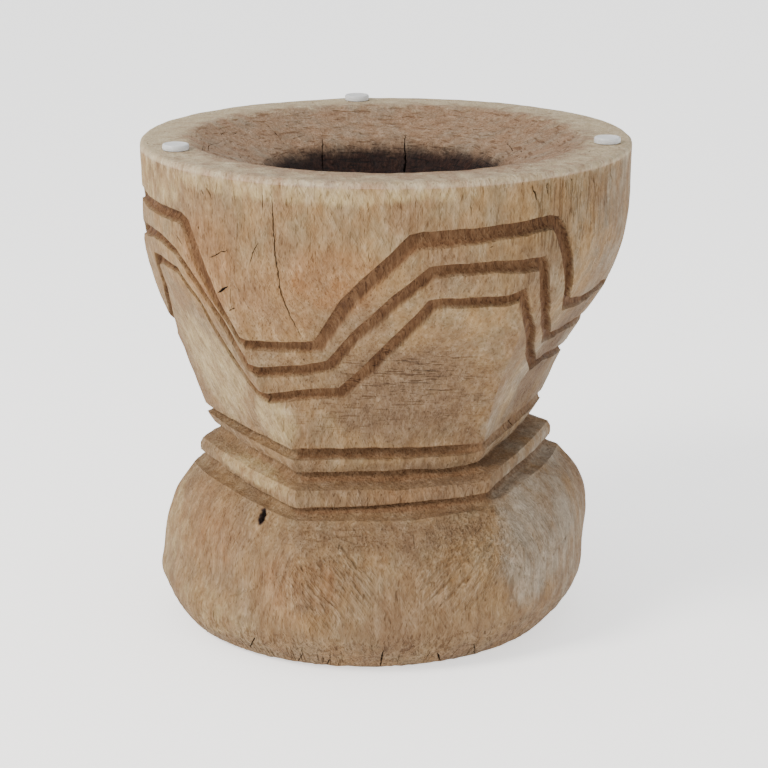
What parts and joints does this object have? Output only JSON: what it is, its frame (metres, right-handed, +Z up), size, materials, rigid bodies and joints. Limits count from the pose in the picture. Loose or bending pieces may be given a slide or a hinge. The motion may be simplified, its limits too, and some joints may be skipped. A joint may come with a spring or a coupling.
{
  "type": "side table base",
  "caption": "Carved hardwood mortar used as a side table base: faceted waist with fluted bands, zigzag grooves, open well and clear bumpers on the rim for a glass top.",
  "frame": {"origin": "on the floor, under the centre of the rim, which is the middle of the whole outline", "axes": "+Z up, -Y towards the viewer of the picture, +X to the viewer's right; the foot stands a little towards -X because the log leans"},
  "size_m": [0.4699, 0.4699, 0.481],
  "materials": {
    "weathered_hardwood": "dry hand-carved hardwood, unvarnished, tan with a greyed rim",
    "clear_adhesive": "clear acrylic adhesive film",
    "clear_bumper": "soft clear plastic, milky at the edge"
  },
  "bodies": {
    "root": {"carved_log_body": "weathered_hardwood", "adhesive_disc_left": "clear_adhesive", "adhesive_disc_back": "clear_adhesive", "adhesive_disc_right": "clear_adhesive", "bumper_left": "clear_bumper", "bumper_back": "clear_bumper", "bumper_right": "clear_bumper"}
  },
  "joints": []
}
